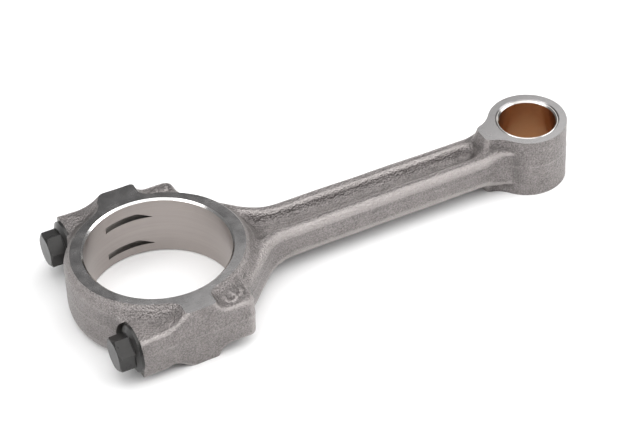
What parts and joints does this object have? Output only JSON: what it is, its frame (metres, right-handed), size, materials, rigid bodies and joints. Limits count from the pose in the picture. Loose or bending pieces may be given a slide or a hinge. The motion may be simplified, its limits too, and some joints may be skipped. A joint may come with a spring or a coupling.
{
  "type": "connecting rod",
  "caption": "Forged I-section connecting rod with a split, bolted big-end cap and a lined bush in the small end.",
  "frame": {"origin": "centre of the crankpin bore at mid width of the rod", "axes": "+X towards the small end, +Y towards the side with the bearing notches, +Z along the two bores"},
  "size_m": [0.2249, 0.0904, 0.028],
  "materials": {
    "forged_steel": "shot-blasted forging with ground thrust faces and a honed bore",
    "bush_steel": "bright turned steel",
    "bronze": "fine bored bronze",
    "black_bolt_steel": "black oxide, satin"
  },
  "bodies": {
    "rod": {"rod_forging": "forged_steel", "bush_backing": "bush_steel", "bush_lining": "bronze"},
    "cap": {"big_end_cap": "forged_steel"},
    "near_bolt": {"near_cap_bolt": "black_bolt_steel"},
    "far_bolt": {"far_cap_bolt": "black_bolt_steel"}
  },
  "joints": [
    {"name": "cap_removal", "type": "slide", "parent": "rod", "child": "cap", "axis": [-1, 0, 0], "range_m": [0, 0.05]},
    {"name": "near_bolt_removal", "type": "slide", "parent": "cap", "child": "near_bolt", "axis": [-1, 0, 0], "range_m": [0, 0.05]},
    {"name": "far_bolt_removal", "type": "slide", "parent": "cap", "child": "far_bolt", "axis": [-1, 0, 0], "range_m": [0, 0.05]}
  ]
}
